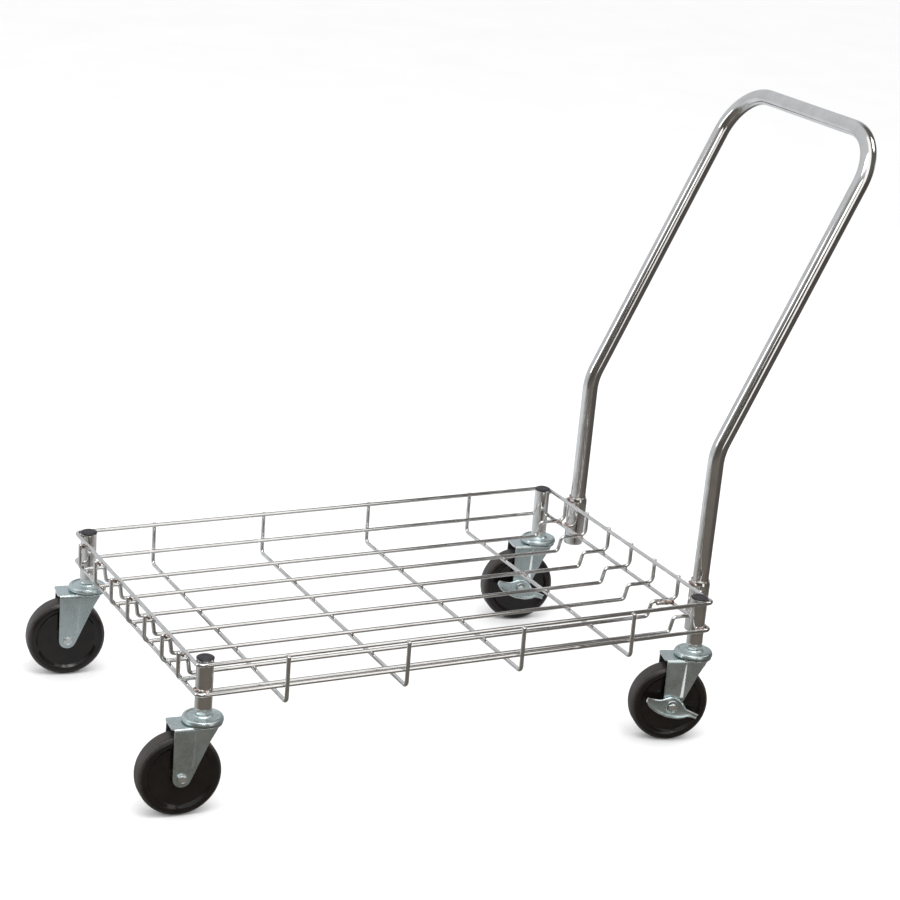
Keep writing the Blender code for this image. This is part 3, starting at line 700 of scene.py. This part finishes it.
def add_caps():
    """Black plugs: a thin flange with a soft edge, a slight dome and a shallow moulded dish in it."""
    for corner in CORNERS:
        low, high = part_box(f"post_cap_{corner}")
        radius, top = (high.x - low.x) / 2, high.z
        flange = top - 0.0028
        shank = POST_RADIUS - 0.0022
        corners = [(0.0005, top - 0.0004), (0.0052, top - 0.0004), (0.0062, top),
                   (radius - 0.0018, top - 0.0003), (radius, top - 0.0016), (radius, flange),
                   (shank, flange), (shank, low.z), (0.0005, low.z)]
        radii = [0, 0.0004, 0.0005, 0.0012, 0.0006, 0.0002, 0, 0.0003, 0]
        profile = rounded_profile(corners, radii, 5, closed=False)
        mesh = turned(f"post_cap_{corner}_moulded", profile, 72, closed=False, centre=STEMS[corner])
        add_piece(mesh.name, mesh, PLASTIC, "frame", "black_plastic", [f"post_cap_{corner}"])


def handle_leg_foot(side):
    """Where a handle leg's axis meets the floor's level, from its socket's box."""
    low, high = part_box(f"handle_socket_{side}")
    middle = (low + high) / 2
    return Vector((middle.x - middle.z * math.tan(HANDLE_RAKE), middle.y, 0))


def add_handle():
    """The bent tube, its two sleeves, and the beads that hold the sleeves to the rings and the tube."""
    pieces = []
    low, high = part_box("handle")
    foot = handle_leg_foot("left")
    rise = math.tan(HANDLE_RAKE)
    top = Vector((high.x - HANDLE_RADIUS, foot.y, high.z - HANDLE_RADIUS))
    half = [Vector((foot.x + z * rise, foot.y, z)) for z in (low.z, HANDLE_KNEE_HEIGHT)] + [top]
    corners = half + [(x, -y, z) for x, y, z in reversed(half)]
    radii = [0, KNEE_RADIUS, HANDLE_CORNER_RADIUS, HANDLE_CORNER_RADIUS, KNEE_RADIUS, 0]
    path = subdivided(fillet(corners, radii, 20), 0.006)
    mesh = sweep("handle_tube", path, HANDLE_RADIUS, 48, chamfer=0.0003, hollow=HANDLE_WALL)
    pieces.append(add_tube(mesh, "handle"))

    beads = bmesh.new()
    for index, side in enumerate(("left", "right")):
        low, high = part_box(f"handle_socket_{side}")
        foot = handle_leg_foot(side)
        tilt = Matrix.Translation(foot) @ Matrix.Rotation(HANDLE_RAKE, 4, "Y")
        radius = (high.y - low.y) / 2
        bore = HANDLE_RADIUS + WIRE_GAP
        bottom, top = low.z + 0.0004, high.z - 0.0006
        corners = [(radius, bottom), (radius, high.z - 0.0060), (bore + 0.0014, top), (bore, top),
                   (bore, bottom)]
        radii = [0.0007, 0.004, 0.0007, 0.0002, 0.0002]
        outline = fillet([(r, 0, z) for r, z in corners], radii, 4, closed=True)
        profile = [(p.x, p.z) for p in subdivided(outline, 0.003, closed=True)]
        mesh = turned(f"handle_socket_{side}_sleeve", profile, 64)
        mesh.transform(tilt)
        pieces.append(add_tube(mesh, f"handle_socket_{side}"))
        for level, ring_z in enumerate((LOWER_Z, RIM_Z)):
            for lift in (WIRE_RADIUS, -WIRE_RADIUS):
                seed = 40 + index * 7 + level * 3 + lift * 900
                add_bead(beads, Vector(), radius + 0.0009, math.radians(143), math.radians(217),
                         ring_z + lift, 0.0021, seed, tilt)
            WELD_PLACES.append((tilt @ Vector((-radius, 0, ring_z)), 0.016, 1.0))
        for k in range(3):
            start = math.radians(-150 + 118 * k + 20 * index)
            add_bead(beads, Vector(), HANDLE_RADIUS + 0.0010, start, start + math.radians(60 + 14 * k),
                     high.z - 0.0004, 0.0015, 61 + k + index, tilt)
            turn = start + math.radians(34)
            place = tilt @ Vector((math.cos(turn) * HANDLE_RADIUS, math.sin(turn) * HANDLE_RADIUS, high.z))
            WELD_PLACES.append((place, 0.010, 0.8))
    finish_welds("socket_welds", beads)
    return pieces


# -------------------- casters

def caster_matrix(corner):
    axis = JOINTS[f"roll_{corner}"]["axis"]
    return Matrix.Translation(STEMS[corner]) @ Matrix.Rotation(math.atan2(-axis[0], axis[1]), 4, "Z")


def local_box(node, corner):
    """A node's lowest and highest corners in its caster's local frame."""
    back = caster_matrix(corner).inverted()
    places = [back @ v.co for v in frame["nodes"][node].data.vertices]
    return (Vector(min(p[i] for p in places) for i in range(3)),
            Vector(max(p[i] for p in places) for i in range(3)))


FORK_REAR = local_box("fork_front_left", "front_left")[0].x
AXLE_Z = JOINTS["roll_front_left"]["pos_m"][2]
AXLE = Vector((-TRAIL, 0, AXLE_Z))


def leg_edges(z):
    """The rear and front edges of a fork leg at a height."""
    knee, brow = Vector((0.0050, 0.1145)), Vector((0.0185, 0.1385))
    foot = Vector((-TRAIL, AXLE_Z))
    reach = knee - foot
    tangent = math.atan2(reach.y, reach.x) - math.acos(FOOT_RADIUS / reach.length)
    touch = foot + FOOT_RADIUS * Vector((math.cos(tangent), math.sin(tangent)))
    drop = min(abs(z - AXLE_Z), FOOT_RADIUS)
    round_half = math.sqrt(FOOT_RADIUS ** 2 - drop ** 2)
    rear = -TRAIL - (round_half if z < AXLE_Z else FOOT_RADIUS)
    if z < touch.y:
        front = -TRAIL + round_half
    elif z < knee.y:
        front = touch.x + (knee.x - touch.x) * (z - touch.y) / (knee.y - touch.y)
    else:
        front = knee.x + (brow.x - knee.x) * min(1.0, (z - knee.y) / (brow.y - knee.y))
    return rear, front


def rib_height(x, z, depth):
    """The pressed rib down each leg: a narrow crease at the top that swells to a blunt end."""
    top, bottom, blunt = 0.1340, 0.0790, 0.0030
    if not bottom - blunt < z < top:
        return 0.0
    down = min(1.0, (top - z) / (top - bottom))
    end = 1.0 if z > bottom else math.sqrt(max(0.0, 1 - ((bottom - z) / blunt) ** 2))
    start = min(1.0, (top - z) / 0.004)
    from_middle, half_width = x + 0.0158 + 0.0028 * down, 0.0013 + 0.0020 * down
    across = max(0.0, 1 - (from_middle / half_width) ** 2) ** 1.5
    return depth * (0.0009 + 0.0012 * down) * start * end * across


def fork_mesh(rib_depth):
    """Stamped yoke: one bent sheet with tapering legs, a rib in each, and a raised round seat on top."""
    columns, corner_radius = 120, 0.0095
    straight, outer = FORK_TOP - FORK_BEND, FORK_OUTER_HALF
    stations = []                # (y, z, outward direction)
    for k in range(1, 13):
        swing = math.radians(7.5 * k)
        stations.append((outer, AXLE_Z - FOOT_RADIUS * math.cos(swing), (1.0, 0.0)))
    low = stations[-1][1]
    stations += [(outer, low + (straight - low) * k / 34, (1.0, 0.0)) for k in range(1, 35)]
    for k in range(1, 7):
        swing = math.pi / 2 * k / 6
        out = (math.cos(swing), math.sin(swing))
        stations.append((outer - FORK_BEND + FORK_BEND * out[0], straight + FORK_BEND * out[1], out))
    flat = outer - FORK_BEND
    stations += [(flat * (1 - k / 12), FORK_TOP, (0.0, 1.0)) for k in range(1, 12)]
    stations += [(0.0, FORK_TOP, (0.0, 1.0))] + [(-y, z, (-a, b)) for y, z, (a, b) in reversed(stations)]
    rows, grain, rib_painted_highlight = [], [], []
    for y, z, (out_y, out_z) in stations:
        rear, front = leg_edges(z)
        if z > straight - 0.02:
            side = min(corner_radius, max(0.0, abs(y) - (outer - corner_radius)))
            rounded = FORK_REAR + corner_radius - math.sqrt(corner_radius ** 2 - side ** 2)
            blend = min(1.0, (z - straight + 0.02) / 0.02)
            rear += (min(rounded, LEG_REAR_TOP) - rear) * blend ** 2
        row = []
        for c in range(columns + 1):
            x = rear + (front - rear) * c / columns
            lift = rib_height(x, z, rib_depth) * abs(out_y)
            row.append(Vector((x, y + math.copysign(lift, y), z)))
            grain.append((x, 0.0, 0.01 * (y + z)))
            # mask of the rib's painted highlight, fullest where the rib stands proudest
            rib_painted_highlight.append(min(1.0, lift / RIB_HIGHLIGHT_LIFT) * rib_depth ** 2)
        rows.append(row)
    mesh = grid_mesh("fork_sheet", rows)
    up = [f for f in mesh.polygons if f.center.z > FORK_TOP - 0.0002 and abs(f.center.y) < 0.01]
    if sum(f.normal.z for f in up) < 0:
        mesh.flip_normals()
    set_values(mesh, "grain", "FLOAT_VECTOR", grain)
    set_values(mesh, "rib", "FLOAT", rib_painted_highlight)
    sheet = thickened("fork_sheet_thick", mesh, FORK_PLATE, 0.0005)
    under, over = FORK_TOP - FORK_PLATE + 0.0002, FORK_TOP + 0.0003
    seat = [(0.0070, under), (0.0070, over), (FORK_DISC_RADIUS, over), (FORK_DISC_RADIUS, under)]
    disc = turned("race_seat", rounded_profile(seat, [0.0002, 0.0003, 0.0010, 0.0006], 5), 96)
    return smooth(joined("fork", [sheet, disc]), 40.0)


def thickened(name, mesh, wall, edge):
    """A sheet given its wall on the inside and softened edges."""
    helper = add_object(name, mesh)
    shell = helper.modifiers.new("Solidify", "SOLIDIFY")
    shell.thickness = wall
    shell.offset = -1.0
    soft = helper.modifiers.new("Bevel", "BEVEL")
    soft.width = edge
    soft.segments = 3
    soft.limit_method = "ANGLE"
    soft.angle_limit = math.radians(50)
    result = bpy.data.meshes.new_from_object(helper.evaluated_get(bpy.context.evaluated_depsgraph_get()))
    bpy.data.objects.remove(helper, do_unlink=True)
    return smooth(result, 40.0)


def swivel_cap_mesh():
    """Pressed race cover: flat boss round the hexagon, a shallow dish, and a rolled outer rim."""
    low, high = local_box("swivel_cap_front_left", "front_left")
    rim, bottom, top = high.x, low.z, high.z
    corners = [(0.0066, top - 0.0002), (0.0128, top - 0.0002), (0.0150, top - 0.0024), (0.0222, top - 0.0034),
               (0.0246, top - 0.0022), (rim - 0.0016, top - 0.0034),
               (rim - 0.0002, bottom + 0.0028), (rim - 0.0002, bottom + 0.0002),
               (rim - 0.0018, bottom + 0.0002), (rim - 0.0020, bottom + 0.0024),
               (0.0240, top - 0.0052), (0.0130, top - 0.0040), (0.0066, top - 0.0022)]
    radii = [0.0002, 0.0016, 0.0018, 0.0020, 0.0014, 0.0022, 0.0012, 0.0004, 0.0004, 0.0004, 0.001, 0.001,
             0.0002]
    return turned("swivel_cap", rounded_profile(corners, radii, 5), 96)


def stem_mesh():
    """Hexagon with its chamfers, threaded stem above it, kingpin below and its domed riveted head."""
    low, high = local_box("caster_stem_front_left", "front_left")
    post_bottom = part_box("post_front_left")[0].z
    hexagon = hexagon_mesh("stem_hexagon", HEXAGON_FLATS, HEXAGON_BOTTOM, post_bottom - 0.0004, bore=0.0058)
    pitch, root, crest = 0.0015, 0.0052, 0.0059
    profile = [(0.0005, high.z)]
    for k in range(int((high.z - post_bottom) / pitch)):
        z = high.z - k * pitch
        profile += [(root, z), (crest, z - pitch * 0.45), (crest, z - pitch * 0.55)]
    profile.append((crest, post_bottom))
    rivet = ((0.0058, 0.0036), (0.0088, 0.0034), (0.0089, 0.0024), (0.0070, 0.0008), (0.0035, 0.0001),
             (0.0005, 0))
    profile += [(r, low.z + rise) for r, rise in rivet]
    shaft = turned("stem_shaft", profile, 48, closed=False)
    return smooth(joined("caster_stem", [hexagon, shaft]), 28.0)


def wheel_mesh():
    """Moulded wheel: crowned tread, round shoulders, a stepped and dished side, and a hub boss."""
    low, high = local_box("wheel_front_left", "front_left")
    hub, face = high.y, high.y - BOSS_RISE
    tread = AXLE_Z - 0.00002
    corners = [(0.00665, hub), (0.0135, hub), (0.0152, face - 0.0046), (0.0200, face - 0.0052),
               (0.0455, face - 0.0044), (0.0496, face - 0.0004), (0.0512, face), (0.0560, face - 0.0004),
               (0.0608, face - 0.0048), (tread - 0.0001, face - 0.0095)]
    radii = [0.0004, 0.0012, 0.0014, 0.004, 0.0018, 0.0010, 0.0010, 0.0024, 0.0030, 0.002]
    half = corners + [(tread, 0.0)]
    loop = half + [(r, -y) for r, y in reversed(half[:-1])]
    profile = rounded_profile(loop, radii + [0.06] + list(reversed(radii)), 6)
    mesh = turned("wheel", profile, 144, across=True)
    rim = [min(1.0, max(0.0, (math.hypot(v.co.x, v.co.z) - 0.0555) / 0.0050)) for v in mesh.vertices]
    set_values(mesh, "tread", "FLOAT", rim)
    mesh.transform(Matrix.Translation(AXLE))
    return mesh


def bolt_mesh(corner):
    """Axle bolt: chamfered hexagon head with a dished top, plain shank and a threaded tail."""
    node = f"axle_bolt_{corner}"
    low, high = local_box(node, corner)
    inner_face = low.y + HEAD_HEIGHT
    head = hexagon_mesh("bolt_head", NUT_FLATS, low.y + 0.0003, inner_face, cuts=(True, False), across=True,
                        crown=0.86)
    dished = ((0.0005, 0.0006), (0.0040, 0.0006), (0.0047, 0), (0.0058, 0.0004), (0.0058, 0.0012),
              (0.0005, 0.0012))
    dish = turned("bolt_dish", [(r, low.y + depth) for r, depth in dished], 64, closed=False, across=True)
    pitch, root, crest = 0.0011, 0.0034, 0.0039
    tail = [(0.0005, inner_face), (crest, inner_face), (crest, FORK_OUTER_HALF)]
    for k in range(9):
        y = FORK_OUTER_HALF + 0.0002 + k * pitch
        tail += [(root, y), (crest, y + pitch * 0.5)]
    tail += [(root, high.y - 0.0002), (0.0028, high.y), (0.0005, high.y)]
    shank = turned("bolt_shank", tail, 40, closed=False, across=True)
    mesh = smooth(joined(node, [head, dish, shank]), 28.0)
    mesh.transform(Matrix.Translation(AXLE))
    return mesh


def nut_mesh():
    """Lock nut: chamfered hexagon with the round crimped collar of its insert."""
    low, high = local_box("axle_nut_front_left", "front_left")
    hexagon = hexagon_mesh("nut_hexagon", NUT_FLATS, low.y, high.y - 0.0018, across=True, bore=0.0041)
    inner, outer = high.y - 0.0022, high.y - 0.0001
    corners = [(0.0042, inner), (0.0058, inner), (0.0058, outer), (0.0042, outer)]
    profile = rounded_profile(corners, [0.0001, 0.0001, 0.0008, 0.0004])
    collar = turned("nut_collar", profile, 64, across=True)
    mesh = smooth(joined("axle_nut", [hexagon, collar]), 28.0)
    mesh.transform(Matrix.Translation(AXLE))
    return mesh


def eased(points, at):
    """A value between given (place, value) points, with its corners rounded over 3 mm."""
    places, values = zip(*points)
    near = np.linspace(at - 0.003, at + 0.003, 9)
    return float(np.interp(near, places, values).mean())


def lever_mesh():
    """Foot lever: a stamped boat-shaped pan, deepest at the heel, its lower edge rolled out into a lip."""
    lip = local_box("brake_lever_rear_left", "rear_left")[0].y
    inside = -(FORK_OUTER_HALF + 0.0003)
    plate = inside - LEVER_PLATE_GAP
    half = LEVER_HALF_LENGTH
    crest = ((-half, 0.0006), (-0.030, 0.0016), (-0.021, 0.0040), (-0.014, 0.0104), (-0.008, 0.0146),
             (0.008, 0.0146), (0.014, 0.0108), (0.022, 0.0042), (0.030, 0.0026), (half, 0.0022))
    keel = ((-half, -0.0012), (-0.037, -0.0075), (-0.022, -0.0122), (-0.004, -0.0134), (0.012, -0.0108),
            (0.024, -0.0062), (0.031, -0.0022), (half, -0.0018))
    rolled = ((-half, 0.35), (-0.034, 0.85), (-0.010, 1.0), (0.016, 0.85), (0.031, 0.30), (half, 0.12))
    along, across, hem = 150, 44, 10
    rows, grain = [], []
    for i in range(along + 1):
        s = -half + 2 * half * i / along
        near = abs(s) / half
        top, bottom = eased(crest, s), eased(keel, s)
        curl = 0.0026 * max(0.0, (near - 0.72) / 0.28) ** 2
        row = []
        for j in range(across + 1):
            w = j / across
            t = top + (bottom - top) * w
            collar = 0.0012 * math.exp(-((math.hypot(s, t) - 0.0092) / 0.0009) ** 2)
            edge = 0.0013 * max(0.0, 1 - w / 0.12) ** 2
            pan = 0.0009 * math.sin(math.pi * w) * (1 - near ** 2)
            row.append((s, t, collar + edge - pan + curl))
        depth = (plate - lip - 0.0003) * eased(rolled, s)
        for k in range(1, hem + 1):
            swing = math.pi / 2 * min(1.0, k / 6)
            roll = min(0.0016, depth)
            straight = max(0.0, (k - 6) / (hem - 6))
            row.append((s, bottom - roll * math.sin(swing) - 0.0004 * straight,
                        roll * (1 - math.cos(swing)) + straight * (depth - roll) + curl))
        rows.append(row)
    turn = Matrix.Rotation(-LEVER_TILT, 4, "Y")
    placed = []
    for row in rows:
        placed.append([AXLE + turn @ Vector((s, max(plate - d, lip + 0.0002), t)) for s, t, d in row])
        grain += [(s, 0.0, t * 0.2) for s, t, d in row]
    mesh = grid_mesh("lever_sheet", placed)
    if sum(f.normal.y for f in mesh.polygons) > 0:
        mesh.flip_normals()
    set_values(mesh, "grain", "FLOAT_VECTOR", grain)
    pan = thickened("lever_pan", mesh, 0.0018, 0.0004)
    outside = plate + 0.0016
    corners = [(0.0044, inside), (0.0088, inside), (0.0088, outside), (0.0044, outside)]
    profile = rounded_profile(corners, [0.0003, 0.0006, 0.0003, 0.0003])
    cam = turned("lever_cam", profile, 64, across=True, centre=AXLE)
    return smooth(joined("brake_lever", [pan, cam]), 40.0)


def add_casters():
    """Every caster from the same local meshes. The ribs show best on the rear forks."""
    cap, stem = swivel_cap_mesh(), stem_mesh()
    plain_fork, ribbed_fork = fork_mesh(0.35), fork_mesh(1.0)
    wheel, nut, lever = wheel_mesh(), nut_mesh(), lever_mesh()
    for corner in CORNERS:
        swivel = f"caster_{corner}"
        fork = ribbed_fork if corner in BRAKED else plain_fork
        parts = {"caster_stem": (stem, "frame"), "swivel_cap": (cap, "frame"), "fork": (fork, swivel),
                 "wheel": (wheel, f"wheel_{corner}"), "axle_bolt": (bolt_mesh(corner), swivel),
                 "axle_nut": (nut, swivel)}
        if corner in BRAKED:
            parts["brake_lever"] = (lever, f"brake_{corner}")
        for part, (mesh, body) in parts.items():
            material, slot = (RUBBER, "black_rubber") if part == "wheel" else (ZINC, "zinc_plate")
            node = f"{part}_{corner}"
            add_piece(f"{node}_finished", mesh, material, body, slot, [node], caster_matrix(corner))


def paint_hidden_nodes():
    """The bearings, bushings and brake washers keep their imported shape, in greased steel."""
    for name, obj in frame["nodes"].items():
        if name.startswith(("ball_ring", "bushing", "brake_washer")):
            obj.data.materials.clear()
            obj.data.materials.append(STEEL)


# -------------------- studio

def add_sheet(name, corners, material):
    """A flat four-cornered piece of the studio."""
    mesh = bpy.data.meshes.new(name)
    mesh.from_pydata(corners, [], [(0, 1, 2, 3)])
    mesh.materials.append(material)
    sheet = add_object(name, mesh)
    return sheet


def add_floor():
    """Pale floor. What polished metal mirrors of it is grey-white behind the cart and dim brown elsewhere."""
    size = 30.0
    material, tree, shader = new_material("pale_floor", 0.0, 0.2)
    place = object_place(tree)
    along, across, up = add_node(tree, "ShaderNodeSeparateXYZ", Vector=place).outputs
    mottle = noise_of(place, 3.0, 3.0)
    pale = blend_of(spread(mottle, 0.3, 0.7), colour(0.90, 0.90, 0.90), colour(0.92, 0.92, 0.92))
    dim, grey = colour(0.092, 0.080, 0.067), colour(0.33, 0.335, 0.34)
    near = blend_of(spread(across, -0.32, 0.10), dim, grey)
    behind = blend_of(spread(across, 0.10, 0.80), near, colour(0.52, 0.535, 0.56))
    beside = times(spread(along, 0.62, 1.0), spread(across, 1.4, 0.7))
    mirrored = blend_of(beside, behind, colour(0.060, 0.052, 0.047))
    glossy = add_node(tree, "ShaderNodeLightPath").outputs["Is Glossy Ray"]
    tree.links.new(blend_of(glossy, pale, mirrored), shader.inputs["Base Color"])
    shader.inputs["Roughness"].default_value = 0.75
    corners = [(-size, -size, 0), (size, -size, 0), (size, size, 0), (-size, size, 0)]
    add_sheet("studio_floor", corners, material)


def add_light(name, place, target, size, power, tint=(1.0, 1.0, 1.0)):
    light = bpy.data.lights.new(name, "AREA")
    light.shape = "RECTANGLE"
    light.size, light.size_y = size
    light.energy = power
    light.color = tint
    obj = add_object(name, light)
    obj.location = place
    obj.rotation_euler = (Vector(target) - Vector(place)).to_track_quat("-Z", "Y").to_euler()
    obj.visible_camera = False


def add_world():
    """White surroundings. Polished metal mirrors a pale ceiling and back, and a dim front and right."""
    world = bpy.data.worlds.new("studio")
    bpy.context.scene.world = world
    world.use_nodes = True
    tree = world.node_tree
    background = tree.nodes["Background"]
    direction = add_node(tree, "ShaderNodeTexCoord").outputs["Generated"]
    along, across, up = add_node(tree, "ShaderNodeSeparateXYZ", Vector=direction).outputs
    behind = spread(across, -0.30, 0.30)
    room = blend_of(behind, colour(0.090, 0.080, 0.072), colour(0.60, 0.61, 0.635))
    ceiling = blend_of(spread(up, 0.34, 0.66), room, colour(0.62, 0.63, 0.65))
    right = times(spread(along, 0.10, 0.40), spread(across, 0.78, 0.50))
    mirrored = blend_of(right, ceiling, colour(0.115, 0.110, 0.104))
    glossy = add_node(tree, "ShaderNodeLightPath").outputs["Is Glossy Ray"]
    tree.links.new(blend_of(glossy, colour(1.09, 1.09, 1.09), mirrored), background.inputs["Color"])
    background.inputs["Strength"].default_value = 1.0


def add_card():
    """White card at the front right, leaning over the cart, that only polished metal mirrors."""
    material, tree, shader = new_material("white_card", 0.0, 0.0)
    shader.inputs["Base Color"].default_value = colour(0.0, 0.0, 0.0)
    shader.inputs["Emission Color"].default_value = colour(1.0, 0.985, 0.965)
    shader.inputs["Emission Strength"].default_value = 1.15
    corners = [(0.25, -3.4, 0.05), (1.28, -3.4, 0.05), (0.98, 0.4, 3.2), (0.25, 0.4, 3.2)]
    card = add_sheet("white_card", corners, material)
    card.visible_camera = False
    card.visible_diffuse = False
    card.visible_transmission = False
    card.visible_shadow = False


def add_camera():
    data = bpy.data.cameras.new("camera")
    data.lens = LENS
    data.sensor_width = 36.0
    data.clip_end = 60.0
    camera = add_object("camera", data)
    along, across, up = CAMERA_OFFSET
    camera.location = (TRAY.x + along, across, up)
    camera.rotation_euler = [math.radians(a) for a in CAMERA_TURN]
    bpy.context.scene.camera = camera


def add_studio():
    add_floor()
    add_world()
    add_card()
    add_camera()
    middle = (TRAY.x, 0.0, AIM_HEIGHT)
    add_light("softbox_front", (-1.3, -3.3, 2.15), middle, (1.5, 0.9), 9.0)
    add_light("softbox_over", (-0.6, -1.1, 3.2), middle, (2.4, 1.2), 42.0)
    add_light("softbox_left", (-3.6, 0.6, 2.2), middle, (1.0, 1.6), 14.0, (0.98, 0.99, 1.0))
    add_light("softbox_right", (2.3, -0.3, 2.5), middle, (0.9, 0.9), 10.0)
    bpy.context.scene.view_settings.view_transform = "Standard"


add_studio()
tubes = add_tray() + add_posts() + add_handle()
add_spot_welds()
for tube in tubes:
    add_heat(tube)
add_caps()
add_casters()
paint_hidden_nodes()
